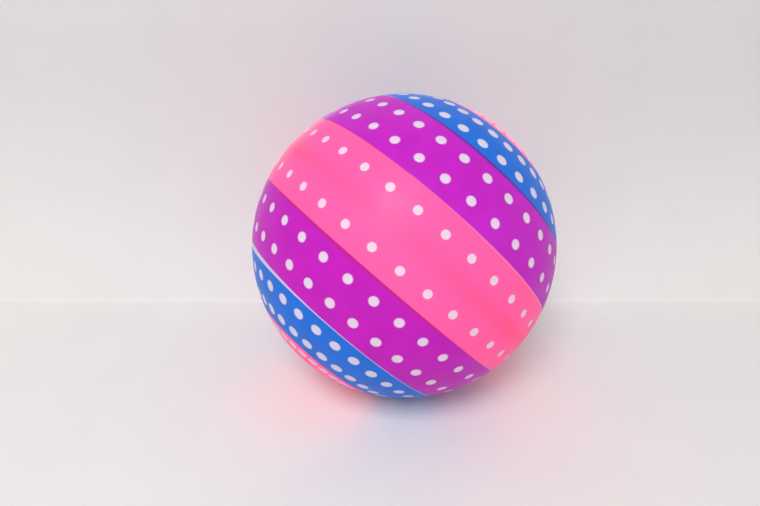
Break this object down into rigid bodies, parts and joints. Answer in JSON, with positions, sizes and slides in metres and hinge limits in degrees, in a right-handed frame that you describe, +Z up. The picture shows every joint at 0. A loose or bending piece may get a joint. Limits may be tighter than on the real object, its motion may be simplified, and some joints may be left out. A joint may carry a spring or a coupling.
{
  "type": "juggling ball",
  "caption": "Hollow inflated vinyl ball with a polka-dot print in pink, purple and blue bands, and a push-in air plug in a soft valve seat",
  "frame": {"origin": "centre of the ball", "axes": "+Z up as the ball rests. The valve axis, which is also the print's axis, leans 45.5 degrees from +Z towards a heading 23.5 degrees from +X to +Y"},
  "size_m": [0.22, 0.22, 0.22],
  "materials": {
    "white_vinyl": "white moulded vinyl, satin to gloss",
    "soft_vinyl": "soft white vinyl, satin",
    "plug_plastic": "white moulded plastic, gloss",
    "pink_ink": "sprayed vinyl ink, satin to gloss",
    "purple_ink": "sprayed vinyl ink, satin to gloss",
    "blue_ink": "sprayed vinyl ink, satin to gloss"
  },
  "bodies": {
    "ball": {"ball_shell": "white_vinyl", "valve_seat": "soft_vinyl", "pink_belt_valve_side": "pink_ink", "purple_band_valve_side": "purple_ink", "blue_band_valve_side": "blue_ink", "pink_cap_valve_side": "pink_ink", "pink_belt_far_side": "pink_ink", "purple_band_far_side": "purple_ink", "blue_band_far_side": "blue_ink", "pink_cap_far_side": "pink_ink"},
    "plug": {"valve_plug": "plug_plastic"}
  },
  "joints": [
    {"name": "plug_pull", "type": "slide", "parent": "ball", "child": "plug", "axis": [0.6541, 0.2844, 0.7009], "range_m": [0, 0.016]}
  ]
}
